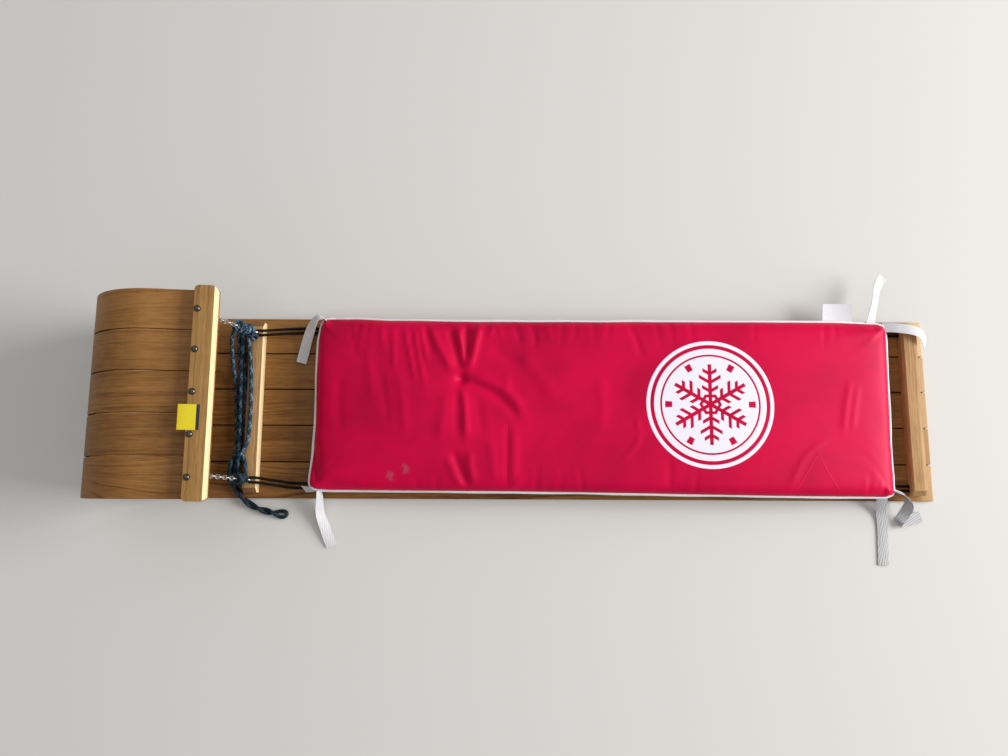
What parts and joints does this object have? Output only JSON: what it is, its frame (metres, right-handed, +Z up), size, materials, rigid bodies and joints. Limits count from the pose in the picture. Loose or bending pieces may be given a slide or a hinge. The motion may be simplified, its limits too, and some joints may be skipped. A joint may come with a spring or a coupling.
{
  "type": "toboggan",
  "caption": "Wooden toboggan with a flat slatted deck, steam-bent curled front, crosspieces, curl chains, tied seat pad and braided tow rope.",
  "frame": {"origin": "on the running surface, halfway along the whole length and on the middle line", "axes": "+X towards the tail, +Y towards the sled's left, +Z up"},
  "size_m": [1.5326, 0.5488, 0.2462],
  "materials": {
    "slat_wood": "varnished",
    "bar_wood": "varnished",
    "crosspiece_wood": "varnished",
    "plated_steel": "bright zinc",
    "black_cord": "braided",
    "pad_cover": "coated nylon sheen",
    "white_tape": "woven",
    "tow_rope": "braided"
  },
  "bodies": {
    "root": {"slat_1": "slat_wood", "slat_2": "slat_wood", "slat_3": "slat_wood", "slat_4": "slat_wood", "slat_5": "slat_wood", "curl_bar": "bar_wood", "crosspiece_front": "crosspiece_wood", "crosspiece_middle_1": "crosspiece_wood", "crosspiece_middle_2": "crosspiece_wood", "crosspiece_tail": "crosspiece_wood", "curl_eye_far": "plated_steel", "curl_eye_near": "plated_steel", "deck_eye_far": "plated_steel", "deck_eye_near": "plated_steel", "chain_far": "plated_steel", "chain_near": "plated_steel", "side_cord_far": "black_cord", "side_cord_near": "black_cord", "seat_pad": "pad_cover", "pad_tie_front_far": "white_tape", "pad_tie_front_near": "white_tape", "pad_tie_back_far": "white_tape", "pad_tie_back_near": "white_tape", "pad_tie_back_far_over": "white_tape", "pad_tie_back_near_over": "white_tape", "care_tag": "white_tape", "tow_rope_lead": "tow_rope", "tow_rope_hank": "tow_rope", "tow_rope_over": "tow_rope", "tow_rope_tail": "tow_rope"}
  },
  "joints": []
}
